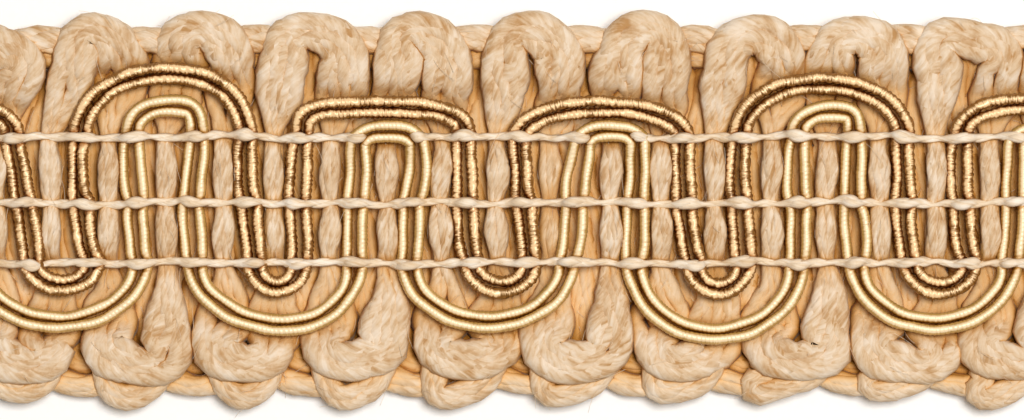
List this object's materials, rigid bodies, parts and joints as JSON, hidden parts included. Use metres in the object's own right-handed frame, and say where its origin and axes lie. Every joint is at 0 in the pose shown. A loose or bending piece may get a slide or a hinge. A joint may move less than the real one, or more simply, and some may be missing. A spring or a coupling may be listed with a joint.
{
  "type": "gimp braid trim",
  "caption": "Flat cut length of woven scroll braid: lobed ecru yarn edges, with dark and light wrapped cords in nested arches and Us under thin binder threads.",
  "frame": {"origin": "middle of the underside, on the surface that the trim lies on", "axes": "+X along the trim, +Y across it towards the wide bronze arches, +Z out of its face"},
  "size_m": [0.0445, 0.016, 0.003],
  "materials": {
    "ecru_yarn": "matte soft-spun cotton yarn",
    "bronze_gimp": "satin, wrapped with bronze-brown rayon",
    "gold_gimp": "satin, wrapped with light gold rayon",
    "binder_thread": "matte twisted cotton thread"
  },
  "bodies": {
    "root": {"ecru_back": "ecru_yarn", "ecru_front": "ecru_yarn", "bronze_gimp": "bronze_gimp", "gold_gimp": "gold_gimp", "binder_top": "binder_thread", "binder_middle": "binder_thread", "binder_bottom": "binder_thread"}
  },
  "joints": []
}
